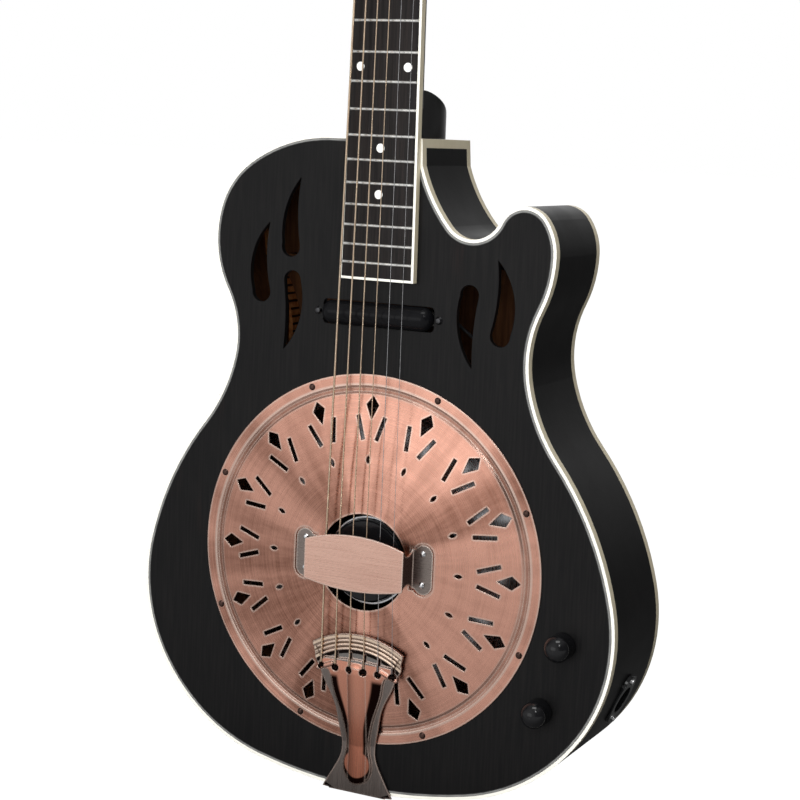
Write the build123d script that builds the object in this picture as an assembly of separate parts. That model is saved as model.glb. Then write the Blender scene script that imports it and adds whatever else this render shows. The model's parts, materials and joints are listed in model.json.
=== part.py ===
from build123d import *
import math
import os

# A cutaway resonator guitar with a biscuit-bridge cone, in millimetres.
# Working frame: x to the treble side, y from the face towards the back, z up the neck.
# y = 0 is the face of the top plate and z = 0 is the saddle. main() lowers every
# part by HANGER_Z, so that the origin is where a wall hanger holds the neck.

# ---- scale, neck and fingerboard ----
SCALE = 648.0
FRET_COUNT = 20
NUT_THICK = 5.0
NUT_HALF = 22.25
END_HALF = 27.8
BOARD_THICK = 6.5
BOARD_RADIUS = 305.0
BOARD_END = 192.6
FRET_HEIGHT = 1.0
FRET_HALF = 1.1
TANG_FLOOR = -4.2
NECK_BINDING = 1.7
DOT_FRETS = [(3, 0), (5, 0), (7, 0), (9, 0), (12, -17.5), (12, 17.5), (15, 0), (17, 0)]
DOT_RADIUS = 3.0
HANGER_Z = SCALE + NUT_THICK
NECK_THIN = 15.0
NECK_THICK = 18.4
SHAFT_FULL = (0.90, 0.66)
HEEL_START = 319.5
HEEL_DEPTH = 66.0
HEEL_FULL = (0.97, 0.87)
HEEL_INSET = 0.8
HEEL_SEAT = 23.6
HEEL_STRAP_Y = 22.0
HEEL_STRAP_Z = 303.0

# ---- body ----
BODY_TOP = 288.0
TAIL_END = -164.5
NECK_DEPTH = 76.0
TAIL_DEPTH = 94.0
TOP_THICK = 4.0
BACK_THICK = 3.0
SIDE_THICK = 2.2
BINDING_TALL = 6.0
LINING_WIDE = 6.0
LINING_TALL = 12.0

# ---- resonator ----
COVER_RADIUS = 128.75
COVER_HOLE = 33.5
COVER_SKIN = 1.0
WELL_RADIUS = 121.2
CONE_RADIUS = 120.6
BISCUIT_RADIUS = 28.5
CUTOUT_GROUPS = 16
REST_TOP = 22.0
REST_PAD_X = 45.5
REST_PAD_LONG = 36.0
REST_PAD_WIDE = 15.4
REST_PAD_FLOOR = 5.4
REST_SHEET = 1.3
REST_HALF = 37.6
REST_SCREW_X = 45.0
REST_SCREW_Z = (-9.5, 12.0)
SADDLE_HEIGHT = 13.5
NUT_HEIGHT = 8.6
NUT_CREST_Z = SCALE + 1.2

# ---- strings, thickest first ----
GAUGES = [1.42, 1.14, 0.89, 0.66, 0.43, 0.33]
SADDLE_PITCH = 10.4
NUT_PITCH = 7.4
TAIL_PITCH = 11.0
KEYHOLE_Z = -74.0
KEYHOLE_HEIGHT = 10.5
BALL_RADIUS = 1.5
BALL_LONG = 3.0
BALL_SINK = 1.2

# ---- tailpiece ----
TAIL_SHEET = 1.2
TAIL_FLAT_Z = -130.0
RIDGE_RADIUS = 13.0
RIDGE_TALL = 3.6
EAR_RADIUS = 1.8
TAIL_SCREWS = [(-12, 14), (12, 14), (0, 30)]
STRAP_Y = 52.0

# ---- headstock ----
HEAD_TILT = 14.0
HEAD_THICK = 14.0
VENEER = 1.5
POST_ROWS = [40.0, 82.0, 124.0]
POST_SPREAD = [23.0, 25.0, 27.0]
POST_RADIUS = 3.0
WORM_OFFSET = 7.2
WORM_RADIUS = 1.7
GEAR_RADIUS = 5.0
POST_TOP = 19.0
STRING_OUT = 9.0
HOUSING_DEEP = 10.0
HOUSING_OUT = 8.5
COVER_SCREWS = [(-5.6, 5.0), (5.6, 5.0), (0, 27.0)]

# ---- electrics ----
PICKUP_Z = 169.0
PICKUP_RADIUS = 8.0
PICKUP_HALF = 41.5
PICKUP_SCREW_X = 45.5
KNOBS = {"volume": (145.9, -36.5), "tone": (132.0, -83.5)}
KNOB_RADIUS = 9.2
KNOB_TALL = 18.0
KNOB_DOME = 6.5
POT_RADIUS = 12.0
JACK_Z = -80.0
JACK_DEPTH = 47.0
JACK_CUP = 11.0
JACK_LONG = 38.0
JACK_TALL = 29.0
JACK_BORE = 3.2
JACK_SCREW_V = (-14.8, 14.8)
WIRE_RADIUS = 1.1


# ---------------------------------------------------------------- helpers
def level(y):
    """Plane at depth y that faces the player: its local x is x, its local y is z."""
    return Plane(origin=(0, y, 0), x_dir=(1, 0, 0), z_dir=(0, -1, 0))


def plate(face, y_front, y_back):
    """Extrude a face drawn in (x, z) between two depths."""
    return extrude(level(y_back) * face, amount=y_back - y_front, dir=(0, -1, 0))


def closed(*points):
    return make_face(Polyline(*points, close=True))


def side_profile(*points):
    """Face drawn in (y, z), in the plane x = 0."""
    return Plane.YZ * closed(*points)


def block(x, y, z):
    """Box from three (low, high) pairs."""
    size = [pair[1] - pair[0] for pair in (x, y, z)]
    middle = [(pair[1] + pair[0]) / 2 for pair in (x, y, z)]
    return Pos(*middle) * Box(*size)


def rod(start, end, radius):
    """Round bar between two points."""
    start, end = Vector(start), Vector(end)
    run = end - start
    stand = Plane(origin=start, z_dir=run.normalized())
    return extrude(stand * Circle(radius), amount=run.length)


def turned(profile, x=0.0, z=0.0):
    """Revolve a list of (radius, depth) corners about an axis along y at (x, z)."""
    face = make_face(Polyline(*[(r, y) for r, y in profile], close=True))
    return Pos(x, 0, z) * revolve(face, Axis.Y)


def tangent_arcs(points, direction):
    """Chain of arcs, each tangent to the one before; returns edges and the last direction."""
    edges = []
    for start, end in zip(points, points[1:]):
        arc = TangentArc(start, end, tangent=direction)
        direction = arc % 1
        edges.append(arc)
    return edges


def fret_z(number):
    return SCALE * 2 ** (-number / 12)


def board_half(z):
    """Half width of the fingerboard with its binding, at distance z from the saddle."""
    return END_HALF + (NUT_HALF - END_HALF) * (z - BOARD_END) / (SCALE - BOARD_END)


def string_x(index, pitch):
    return (index - 2.5) * pitch


# ---------------------------------------------------------------- body shell
LOWER_BOUT = [(0, TAIL_END), (81, -155), (162, -98), (178.5, -6.5), (135.5, 83.5), (113, 130.5)]
BASS_UPPER = [(-120, 177), (-127.5, 234.5), (-104, 268), (-42, BODY_TOP)]
TREBLE_UPPER = [(118.5, 180.5), (126.5, 216), (119, 239.5), (86, 236.5), (50, 231.5), (28.5, 270.5)]
CUTAWAY_CORNER = (27.5, BODY_TOP)


def outline(inset=0.0):
    """Body outline: symmetric lower bout, full bass shoulder, cutaway on the treble side."""
    bass = tangent_arcs([(-x, z) for x, z in LOWER_BOUT] + BASS_UPPER, (-1, 0))
    treble = tangent_arcs(LOWER_BOUT + TREBLE_UPPER, (1, 0))
    shoulder = Line(BASS_UPPER[-1], CUTAWAY_CORNER)
    wall = Line(CUTAWAY_CORNER, TREBLE_UPPER[-1])
    face = make_face(bass + treble + [shoulder, wall])
    if inset:
        face = offset(face, -inset)
    return face


def back_y(z):
    return NECK_DEPTH + (TAIL_DEPTH - NECK_DEPTH) * (BODY_TOP - z) / (BODY_TOP - TAIL_END)


def above_back(skin):
    """Everything in front of the tilted back, less a skin measured from its outside."""
    low, high = TAIL_END - 40, BODY_TOP + 40
    face = side_profile((-60, low), (back_y(low) - skin, low), (back_y(high) - skin, high), (-60, high))
    return extrude(face, amount=260, both=True, dir=(1, 0, 0))


def claw(tip, outer, start, end_mid, finish, inner):
    """Sound hole with one pointed tip and one round end, from three arcs."""
    first = ThreePointArc(tip, outer, start)
    around = ThreePointArc(start, end_mid, finish)
    back = ThreePointArc(finish, inner, tip)
    return make_face([first, around, back])


def sound_holes():
    treble_outer = claw((86, 212), (98.3, 190), (97, 163), (90, 155.2), (83, 164), (87, 188))
    treble_inner = claw((70.7, 138.8), (58.5, 168), (60, 187), (67, 194.3), (73.5, 187), (70.4, 160))
    bass_low = claw((-72.5, 139.5), (-59, 169), (-60.5, 188), (-67, 194.5), (-73.5, 187.5), (-71.5, 162))
    bass_outer = claw((-86, 227), (-99.3, 204), (-98.5, 179), (-91.5, 171.2), (-84.5, 180), (-88, 203))
    bass_high = claw((-62.6, 258.7), (-74.5, 236), (-76, 213), (-69, 203.8), (-62.2, 212), (-64.5, 236))
    return [treble_outer, treble_inner, bass_low, bass_outer, bass_high]


def pickup_slot(clearance):
    long, wide = 2 * (PICKUP_HALF + clearance), 2 * (PICKUP_RADIUS + clearance)
    return Pos(0, PICKUP_Z) * RectangleRounded(long, wide, 3)


def top_plate():
    body = plate(outline(SIDE_THICK), 0, TOP_THICK)
    cuts = [plate(hole, -1, TOP_THICK + 1) for hole in sound_holes()]
    cuts.append(plate(pickup_slot(0.4), -1, TOP_THICK + 1))
    cuts.append(plate(Circle(WELL_RADIUS), -1, TOP_THICK + 1))
    for x, z in KNOBS.values():
        cuts.append(plate(Pos(x, z) * Circle(4.8), -1, TOP_THICK + 1))
    for side in (-1, 1):
        cuts.append(plate(Pos(side * PICKUP_SCREW_X, PICKUP_Z) * Circle(1.7), -1, TOP_THICK + 1))
    for x, z in cover_screw_places():
        cuts.append(plate(Pos(x, z) * Circle(1.3), -1, TOP_THICK + 1))
    return body - cuts


def rim_ring(thick):
    return outline() - outline(thick)


def rim_sides():
    walls = plate(rim_ring(SIDE_THICK), BINDING_TALL, 120) & above_back(BINDING_TALL)
    walls -= block((20, 40), (0, 120), (BODY_TOP - 6, BODY_TOP + 5))
    holes = tail_screw_holes() + jack_screw_holes(0.85) + neck_bolt_holes(2.6)
    return walls - [jack_hole(JACK_CUP + 0.2)] - holes


def top_binding():
    return plate(rim_ring(SIDE_THICK), 0, BINDING_TALL)


def back_binding():
    return plate(rim_ring(SIDE_THICK), 40, 120) & (above_back(0) - above_back(BINDING_TALL))


def cutaway_strip():
    """Binding strip down the cutaway wall, beside the neck, between the two bindings."""
    strip = plate(rim_ring(SIDE_THICK), BINDING_TALL, 120) & above_back(BINDING_TALL)
    return strip & block((20, 40), (0, 120), (BODY_TOP - 6, BODY_TOP + 5))


def back_plate():
    return plate(outline(SIDE_THICK), 40, 120) & (above_back(0) - above_back(BACK_THICK))


def neck_block_zone():
    return block((-36, 36), (TOP_THICK, 120), (BODY_TOP - 40, BODY_TOP + 5))


def tail_block_zone():
    return block((-34, 34), (TOP_THICK, 120), (TAIL_END - 5, TAIL_END + 16))


def neck_block():
    wood = plate(outline(SIDE_THICK), TOP_THICK, 120) & neck_block_zone() & above_back(BACK_THICK)
    return wood - neck_bolt_holes(3.2)


def tail_block():
    wood = plate(outline(SIDE_THICK), TOP_THICK, 120) & tail_block_zone() & above_back(BACK_THICK)
    return wood - tail_screw_holes()


def linings():
    """Kerfed strips that join the rim to the top and the back; kerfs are left to the surface."""
    ring = outline(SIDE_THICK) - outline(SIDE_THICK + LINING_WIDE)
    front = plate(ring, TOP_THICK, TOP_THICK + LINING_TALL)
    rear = plate(ring, 40, 120) & (above_back(BACK_THICK) - above_back(BACK_THICK + LINING_TALL))
    both = front + rear
    return both - [neck_block_zone(), tail_block_zone(), well_body(0.3), jack_hole(JACK_CUP + 1)]


def back_braces():
    bars = None
    for z, half in ((196, 110), (122, 96), (25, 150), (-85, 150)):
        bar = block((-half, half), (40, 120), (z - 5, z + 5))
        bar &= above_back(BACK_THICK) - above_back(BACK_THICK + 12)
        bars = bar if bars is None else bars + bar
    return bars & plate(outline(SIDE_THICK + LINING_WIDE + 1), 0, 120)


# ---------------------------------------------------------------- resonator
def well_body(clearance):
    return plate(Circle(WELL_RADIUS + 7 + clearance), TOP_THICK, 33)


def tail_screw_holes():
    button = rod((0, STRAP_Y, TAIL_END - 5), (0, STRAP_Y, TAIL_END + 15), 1.6)
    return [button] + [rod((x, y, TAIL_END - 4), (x, y, TAIL_END + 15), 1.65) for x, y in TAIL_SCREWS]


def soundwell():
    """Wooden ring under the top: a wall that the cone drops into and a ledge that it rests on."""
    wall = plate(Circle(WELL_RADIUS + 7) - Circle(WELL_RADIUS), TOP_THICK, 29)
    ledge = plate(Circle(WELL_RADIUS + 7) - Circle(WELL_RADIUS - 8), 29, 33)
    holes = [plate(Pos(x, z) * Circle(1.3), 0, 14) for x, z in cover_screw_places()]
    return (wall + ledge) - holes


def cone():
    """Spun aluminium cone: flange on the ledge, corrugated slope, flat crown under the biscuit."""
    skin = 0.7
    line = [(CONE_RADIUS, 28.2), (112, 28.2), (107, 24.5), (88, 17.5), (64, 9.5), (42, 4.2), (33, 2.6)]
    crown = [(31.2, 1.2), (29.6, 1.2), (29.2, 3.0), (3.0, 3.0)]
    upper = line + crown
    lower = [(r, y + skin) for r, y in reversed(upper)]
    return turned(upper + lower)


def biscuit():
    rim = [(BISCUIT_RADIUS - 1, -3.2), (BISCUIT_RADIUS, -2.2), (BISCUIT_RADIUS, 2.9)]
    disc = turned([(0, -3.2)] + rim + [(0, 2.9)])
    slot = block((-30, 30), (-4, -0.2), (-1.7, 1.7))
    return disc - [slot, rod((0, -4, 0), (0, 4, 0), 1.5)]


def saddle():
    """Bridge saddle, with its crest just below the strings and its corners shaved down."""
    blank = block((-28, 28), (-SADDLE_HEIGHT + 0.1, -0.3), (-1.6, 1.6))
    return blank - string_slots(SADDLE_PITCH, 0, SADDLE_HEIGHT)


def string_slots(pitch, z, height):
    """Open slots a hair wider than each string, along the runs that meet at this crest."""
    cuts = []
    for index, gauge in enumerate(GAUGES):
        x = string_x(index, pitch)
        radius = gauge / 2 + 0.1
        cuts += string_runs(index, radius)
        cuts.append(Pos(x, -height, z) * Sphere(radius + 0.02))
        half = radius - 0.04
        cuts.append(block((x - half, x + half), (-height - 6, -height), (z - 5, z + 5)))
    return cuts


def biscuit_screw():
    return rod((0, 4.5, 0), (0, 0.1, 0), 1.45) + rod((0, 5.6, 0), (0, 3.75, 0), 3.5)


def cover_screw_places():
    places = []
    for index in range(8):
        angle = math.radians(22.5 + 45 * index)
        places.append((125.1 * math.cos(angle), 125.1 * math.sin(angle)))
    return places


def cover_crown():
    """Upper line of the cover plate as (radius, depth), from the central hole outwards."""
    return [(COVER_HOLE, -7.6), (50, -7.1), (66, -6.2), (82, -4.9), (98, -3.2), (110, -1.8), (115.5, -1.1)]


def cover_line():
    groove = [(117, -0.2), (119.5, -0.2), (121.1, -COVER_SKIN), (COVER_RADIUS, -COVER_SKIN)]
    return cover_crown() + groove


def cutout_faces():
    """One group of openings, pointing outwards along +z: a kite, two slots and a lens."""
    kite = closed((0, 98), (4.8, 108.3), (0, 114.3), (-4.8, 108.3))
    slots = [Pos(s * 7.6, 92.3) * Rot(0, 0, -s * 18) * Rectangle(2.9, 17.0) for s in (-1, 1)]
    sides = [ThreePointArc((0, 68), (1.4, 71), (0, 74)), ThreePointArc((0, 74), (-1.4, 71), (0, 68))]
    lens = make_face(sides)
    return [kite, lens] + slots


def cover_plate():
    """Spun plate: flat rim, shallow groove and a low dome with sixteen groups of openings."""
    upper = cover_line()
    lower = [(r, y + COVER_SKIN) for r, y in reversed(upper)]
    dome = turned(upper + lower)
    cuts = []
    for index in range(CUTOUT_GROUPS):
        turn = Rot(0, 0, index * 360 / CUTOUT_GROUPS)
        for face in cutout_faces():
            cuts.append(plate(turn * face, -12, 4))
    for x, z in cover_screw_places():
        cuts.append(plate(Pos(x, z) * Circle(1.5), -4, 4))
    filled = turned([(0, -7.6)] + upper + [(COVER_RADIUS, 2), (0, 2)])
    for side in (-1, 1):
        pad = rest_pocket(side, 0)
        rimmed = rest_pocket(side, COVER_SKIN)
        dome -= plate(rimmed, -12, 4)
        tray = plate(rimmed, -12, -REST_PAD_FLOOR + COVER_SKIN) & filled
        dome += tray - plate(pad, -12, -REST_PAD_FLOOR)
        for z in REST_SCREW_Z:
            cuts.append(plate(Pos(side * REST_SCREW_X, z) * Circle(1.3), -12, 4))
    return dome - cuts


def cover_screws():
    screws = None
    for x, z in cover_screw_places():
        head = turned([(0, -2.2), (1.6, -2.0), (2.4, -COVER_SKIN), (0, -COVER_SKIN)], x, z)
        shank = rod((x, -COVER_SKIN, z), (x, 11, z), 1.2)
        screw = head + shank
        screws = screw if screws is None else screws + screw
    return screws


# ---------------------------------------------------------------- hand rest
def rest_pocket(side, extra):
    """Pocket in the cover plate for one foot: a stadium, square on the side of the leg."""
    stadium = SlotOverall(REST_PAD_LONG + 2 * extra, REST_PAD_WIDE + 2 * extra, rotation=90)
    landing = Rectangle(9 + 2 * extra, 29 + 2 * extra)
    return Pos(side * REST_PAD_X, 0.8) * stadium + Pos(side * (REST_HALF + 2.5), 0.8) * landing


def hand_rest():
    """Bent cover over the saddle: barrel-shaped top, two notched legs, two feet."""
    near = [ThreePointArc((-REST_HALF, -13), (0, -17.5), (REST_HALF, -13))]
    far = [ThreePointArc((REST_HALF, 14.5), (0, 21), (-REST_HALF, 14.5))]
    ends = [Line((REST_HALF, -13), (REST_HALF, 14.5)), Line((-REST_HALF, 14.5), (-REST_HALF, -13))]
    top = plate(make_face(near + far + ends), -REST_TOP, -REST_TOP + REST_SHEET)
    foot_y = -REST_PAD_FLOOR - REST_SHEET
    shape = [
        Line((-REST_TOP, -13), (-REST_TOP, 14.5)),
        ThreePointArc((-REST_TOP, 14.5), (-14, 10.5), (foot_y, 14.5)),
        Line((foot_y, 14.5), (-REST_PAD_FLOOR, 14.5)),
        Line((-REST_PAD_FLOOR, 14.5), (-REST_PAD_FLOOR, -13)),
        Line((-REST_PAD_FLOOR, -13), (foot_y, -13)),
        ThreePointArc((foot_y, -13), (-14, -9), (-REST_TOP, -13)),
    ]
    leg_face = Plane.YZ * make_face(shape)
    rest = top
    stadium = SlotOverall(REST_PAD_LONG - 1.6, REST_PAD_WIDE - 1.6, rotation=90)
    for side in (-1, 1):
        inner = side * (REST_HALF - REST_SHEET)
        leg = extrude(Pos(inner, 0, 0) * leg_face, amount=REST_SHEET, dir=(side, 0, 0))
        pad = Pos(side * REST_PAD_X, 0.8) * stadium
        flap = Pos(side * (REST_HALF + 4), 0.8) * Rectangle(10, 27)
        foot = plate(pad + flap, foot_y, -REST_PAD_FLOOR)
        foot &= block(sorted((side * (REST_HALF - 1), side * 60)), (-30, 0), (-30, 30))
        holes = [plate(Pos(side * REST_SCREW_X, z) * Circle(1.3), -9, 0) for z in REST_SCREW_Z]
        rest += leg + (foot - holes)
    return rest


def hand_rest_screws():
    screws = None
    top = -REST_PAD_FLOOR - REST_SHEET
    for side in (-1, 1):
        for z in REST_SCREW_Z:
            x = side * REST_SCREW_X
            dome = [(0, top - 1.9), (1.2, top - 1.7), (2.1, top - 0.9), (2.3, top), (0, top)]
            head = turned(dome, x, z)
            screw = head + rod((x, top, z), (x, -1.5, z), 1.2)
            screws = screw if screws is None else screws + screw
    return screws


# ---------------------------------------------------------------- tailpiece
def tail_outline():
    right = [
        ThreePointArc((0, -53), (16, -55), (31, -63)),
        ThreePointArc((31, -63), (33.4, -70), (29.5, -77)),
        Spline([(29.5, -77), (26, -87), (18.6, -102), (15.2, -118), (13.2, -137), (18.2, -149), (27, -165)]),
        Line((27, -165), (0, -167)),
    ]
    return make_face(right + [edge.mirror(Plane.YZ) for edge in right])


def tail_sheet(lift, thick, reach=60):
    """Bent sheet that slopes from the keyholes down to the top and runs flat to the tail."""
    high = -KEYHOLE_HEIGHT + 1.6 - lift
    low = -2.4 - lift
    face = side_profile(
        (high, -60), (high, KEYHOLE_Z - 3), (low, TAIL_FLAT_Z), (low, -172),
        (low + thick, -172), (low + thick, TAIL_FLAT_Z), (high + thick, KEYHOLE_Z - 3), (high + thick, -60),
    )
    return extrude(face, amount=reach, both=True, dir=(1, 0, 0))


def spoon():
    """Raised rib: wide at the keyholes, narrow at the waist, rounded at the lower end."""
    lower = [(22, -78), (19.3, -88), (14.3, -104), (9.6, -121), (8.9, -134), (10.9, -146), (0, -158.5)]
    right = [
        Line((0, -68), (26, -70)),
        ThreePointArc((26, -70), (27.5, -74.5), (22, -78)),
        Spline(lower, tangents=[(-0.8, -1), (-1, 0)]),
    ]
    return make_face(right + [edge.mirror(Plane.YZ) for edge in right])


def ridge():
    """Convex back of the rib: a round bar that follows the bend of the sheet, cut to the rib's outline."""
    high = RIDGE_RADIUS - RIDGE_TALL - KEYHOLE_HEIGHT + 1.6
    low = RIDGE_RADIUS - RIDGE_TALL - 2.4
    line = [(0, high, KEYHOLE_Z), (0, high, KEYHOLE_Z - 3), (0, low, TAIL_FLAT_Z), (0, low, TAIL_END)]
    bar = None
    for start, end in zip(line, line[1:]):
        run = rod(start, end, RIDGE_RADIUS)
        bar = run if bar is None else bar + run + Pos(*start) * Sphere(RIDGE_RADIUS)
    return bar & plate(spoon(), -20, 0) & tail_sheet(RIDGE_TALL + 0.1, RIDGE_TALL + 0.2)


def ears():
    """Rolled ends of the rib, curling down beside the outer keyholes."""
    ends = [rod((s * 18, -10.2, KEYHOLE_Z + 1), (s * 30, -9.6, KEYHOLE_Z - 4), EAR_RADIUS) for s in (-1, 1)]
    tips = [Pos(s * 30, -9.6, KEYHOLE_Z - 4) * Sphere(EAR_RADIUS) for s in (-1, 1)]
    return ends + tips


def keyholes():
    cuts = []
    for index in range(6):
        x = string_x(index, TAIL_PITCH)
        cuts.append(plate(Pos(x, KEYHOLE_Z - 2) * Circle(2.6), -20, 0))
        cuts.append(plate(Pos(x, KEYHOLE_Z + 4) * Rectangle(1.7, 12), -20, 0))
    return cuts


def tailpiece():
    sheet = plate(tail_outline(), -20, 0) & tail_sheet(0, TAIL_SHEET)
    rib = plate(spoon(), -20, 0) & tail_sheet(1.7, 1.8)
    crest = ThreePointArc((-35, -60), (0, -50), (35, -60))
    head_arc = [crest, ThreePointArc((-33, -68), (0, -61), (33, -68))]
    head_ends = [Line((-35, -60), (-33, -68)), Line((35, -60), (33, -68))]
    head = plate(make_face(head_arc + head_ends), -9.9, -8.2)
    lip_arc = [crest, ThreePointArc((-34.4, -63), (0, -53.2), (34.4, -63))]
    lip_ends = [Line((-35, -60), (-34.4, -63)), Line((35, -60), (34.4, -63))]
    head += plate(make_face(lip_arc + lip_ends), -10.5, -8.2)
    apron = block((-22, 22), (-2.4, 42), (TAIL_END - 1.5, TAIL_END - 0.3))
    apron -= [rod((x, y, TAIL_END - 4), (x, y, TAIL_END + 4), 1.9) for x, y in TAIL_SCREWS]
    bridge = block((-22, 22), (-2.4, -1.2), (TAIL_END - 1.5, TAIL_END + 2))
    body = (sheet & block((-60, 60), (-30, 5), (TAIL_END - 1.5, 0))) + rib + ridge() + ears()
    return (body - keyholes()) + head + apron + bridge


def tailpiece_screws():
    screws = None
    for x, y in TAIL_SCREWS:
        head = rod((x, y, TAIL_END - 3.6), (x, y, TAIL_END - 1.5), 3.4)
        shank = rod((x, y, TAIL_END - 1.5), (x, y, TAIL_END + 14), 1.6)
        screw = head + shank
        screws = screw if screws is None else screws + screw
    return screws


# ---------------------------------------------------------------- neck
def neck_section(z, depth, full, inset=0.0):
    """U-shaped slice of the neck: flat at y = 0, round at the back."""
    half = board_half(z) - inset
    side = [(half, 0), (half * full[0], depth * 0.3), (half * full[1], depth * 0.7), (0, depth)]
    mirrored = [(-x, y) for x, y in reversed(side[:-1])]
    curve = Spline(side + mirrored, tangents=[(0, 1), (0, -1)])
    top = Line((-half, 0), (half, 0))
    return Pos(0, 0, z) * make_face([curve, top])


def neck_shaft():
    at_heel = neck_section(HEEL_START - 12, NECK_THICK, SHAFT_FULL)
    return loft([neck_section(HANGER_Z, NECK_THIN, SHAFT_FULL), at_heel])


def heel():
    """Deep U-shaped block cut to a dome that starts abruptly behind the last free fret."""
    low = BODY_TOP + 0.1
    block_shape = loft([neck_section(z, HEEL_DEPTH, HEEL_FULL, HEEL_INSET) for z in (low, HEEL_START + 8)])
    dome = [
        ThreePointArc((HEEL_DEPTH + 1, low), (HEEL_DEPTH * 0.66, HEEL_START - 11), (0, HEEL_START)),
        Line((0, HEEL_START), (0, low)),
        Line((0, low), (HEEL_DEPTH + 1, low)),
    ]
    return block_shape & extrude(Plane.YZ * make_face(dome), amount=40, both=True)


def neck():
    wood = neck_shaft() + heel()
    body = wood + (head_slab(0, HEAD_THICK) - post_holes(4.3))
    channel = block((-3.1, 3.1), (-1, 10), (339, HANGER_Z + 14))
    body -= [channel] + neck_bolt_holes(2.6) + housing_screw_holes(0.85)
    body -= [head_rod(x, v, -6, 1, 0.85) for x, v in COVER_SCREWS]
    seat = rod((-HEEL_SEAT, HEEL_STRAP_Y, HEEL_STRAP_Z), (-HEEL_SEAT - 6, HEEL_STRAP_Y, HEEL_STRAP_Z), 5.7)
    pilot = rod((-HEEL_SEAT, HEEL_STRAP_Y, HEEL_STRAP_Z), (-8, HEEL_STRAP_Y, HEEL_STRAP_Z), 1.6)
    return body - [seat, pilot]


def neck_bolt_holes(radius):
    return [rod((0, y, BODY_TOP - 45), (0, y, BODY_TOP + 19), radius) for y in (20, 40)]


def neck_bolts():
    bolts = None
    for y in (20, 40):
        head = rod((0, y, BODY_TOP - 44), (0, y, BODY_TOP - 40), 5)
        shank = rod((0, y, BODY_TOP - 40), (0, y, BODY_TOP + 18), 2.5)
        bolt = head + shank
        bolts = bolt if bolts is None else bolts + bolt
    return bolts


def truss_rod():
    bar = rod((0, 5, 340), (0, 5, HANGER_Z + 2), 2.6)
    adjuster = rod((0, 5, HANGER_Z + 2), (0, 5, HANGER_Z + 10), 2.9)
    return bar + adjuster


def fingerboard():
    core = closed(*board_corners(NECK_BINDING, BOARD_END + NECK_BINDING, SCALE))
    return (plate(core, -BOARD_THICK, 0) & crowned(BOARD_RADIUS)) - dot_wells(0.0) - fret_slots()


def board_corners(inset, low, high):
    a, b = board_half(low) - inset, board_half(high) - inset
    return [(-a, low), (a, low), (b, high), (-b, high)]


def crowned(radius):
    """Long cylinder whose crest is the crown of the fingerboard."""
    depth = BOARD_RADIUS - BOARD_THICK
    return rod((0, depth, BOARD_END - 5), (0, depth, SCALE + 5), radius)


def fingerboard_binding():
    whole = closed(*board_corners(0, BOARD_END, SCALE))
    core = closed(*board_corners(NECK_BINDING, BOARD_END + NECK_BINDING, SCALE + 1))
    return plate(whole - core, -BOARD_THICK, 0) & crowned(BOARD_RADIUS)


def fret_span(number):
    return board_half(fret_z(number)) - NECK_BINDING - 0.1


def fret_slots():
    places = [fret_z(number) for number in range(1, FRET_COUNT + 1)]
    return [block((-40, 40), (-12, TANG_FLOOR), (z - 0.26, z + 0.26)) for z in places]


def frets():
    """Crowned wire with a tang, bent to the fingerboard's radius."""
    wires = None
    axis = Axis((0, BOARD_RADIUS - BOARD_THICK, 0), (0, 0, 1))
    for number in range(1, FRET_COUNT + 1):
        z = fret_z(number)
        half = fret_span(number)
        low, high = (-BOARD_THICK, z - FRET_HALF), (-BOARD_THICK, z + FRET_HALF)
        crest = ThreePointArc(low, (-BOARD_THICK - FRET_HEIGHT, z), high)
        foot = Line(low, high)
        sweep_angle = 2 * math.degrees(math.asin(half / BOARD_RADIUS))
        crown = revolve(Plane.YZ * make_face([crest, foot]), axis, sweep_angle)
        crown = crown.rotate(axis, -sweep_angle / 2)
        tang = block((-half, half), (-8, TANG_FLOOR), (z - 0.25, z + 0.25)) & crowned(BOARD_RADIUS + 0.3)
        wire = crown + tang + block((-half, half), (-BOARD_THICK + 0.5, TANG_FLOOR), (z - 0.25, z + 0.25))
        wires = wire if wires is None else wires + wire
    return wires


def dot_place(number, x):
    return x, (fret_z(number) + fret_z(number - 1)) / 2


def dot_wells(clearance):
    wells = []
    for number, x in DOT_FRETS:
        px, pz = dot_place(number, x)
        wells.append(plate(Pos(px, pz) * Circle(DOT_RADIUS + clearance), -9, -BOARD_THICK + 1.8))
    return wells


def position_dots():
    dots = None
    for well in dot_wells(0.0):
        dot = well & crowned(BOARD_RADIUS)
        dots = dot if dots is None else dots + dot
    return dots


def nut():
    blank = closed((-NUT_HALF, SCALE), (NUT_HALF, SCALE), (NUT_HALF, HANGER_Z), (-NUT_HALF, HANGER_Z))
    return plate(blank, -NUT_HEIGHT, 0) - string_slots(NUT_PITCH, NUT_CREST_Z, NUT_HEIGHT - 0.3)


# ---------------------------------------------------------------- headstock
HEAD = Plane(
    origin=(0, 0, HANGER_Z),
    x_dir=(1, 0, 0),
    z_dir=(0, -math.cos(math.radians(HEAD_TILT)), math.sin(math.radians(HEAD_TILT))),
)
HEAD_AXIS = Axis(HEAD.origin, HEAD.z_dir)


def head_outline():
    right = [
        Line((0, 0), (NUT_HALF, 0)),
        Spline([(NUT_HALF, 0), (27, 12), (35.5, 26), (37.5, 60), (41.5, 158)], tangents=[(0, 1), (0.05, 1)]),
        ThreePointArc((41.5, 158), (38.5, 164.5), (32, 167)),
        ThreePointArc((32, 167), (17, 169.5), (0, 176)),
    ]
    return make_face(right + [edge.mirror(Plane.YZ) for edge in right])


def head_slab(top, thick):
    """Slab of the headstock shape between two levels measured into the wood."""
    return extrude(HEAD.offset(-top - thick) * head_outline(), amount=thick, dir=HEAD.z_dir)


def head_point(x, v, out):
    """Point on the headstock: across, up its length, and out of the wood's face."""
    return HEAD.origin + HEAD.x_dir * x + HEAD.y_dir * v + HEAD.z_dir * out


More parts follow.
